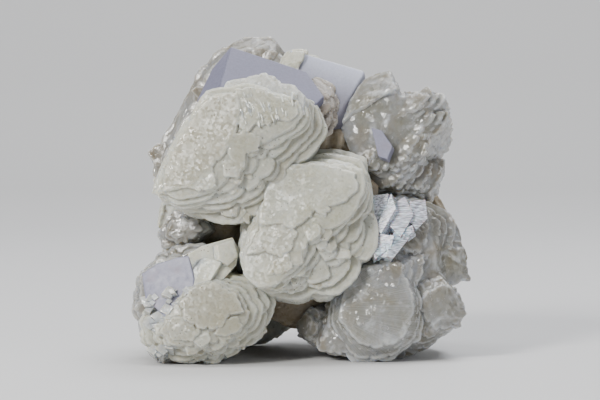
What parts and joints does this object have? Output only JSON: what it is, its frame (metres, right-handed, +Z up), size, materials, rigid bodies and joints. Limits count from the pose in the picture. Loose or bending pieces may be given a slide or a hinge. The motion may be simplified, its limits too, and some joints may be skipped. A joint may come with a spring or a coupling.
{
  "type": "calcite crystal cluster",
  "caption": "Cluster of intergrown calcite crystals with scalloped growth layers and smooth crystal faces, resting on the flats of its lowest crystals.",
  "frame": {"origin": "on the resting plane, below the centre of the cluster's bounds", "axes": "+Z up, the pictured front faces -Y, +X to the right of the front view"},
  "size_m": [0.0778, 0.0582, 0.0749],
  "materials": {
    "calcite": "translucent, satin to finely granular"
  },
  "bodies": {
    "root": {"calcite_cluster": "calcite"}
  },
  "joints": []
}
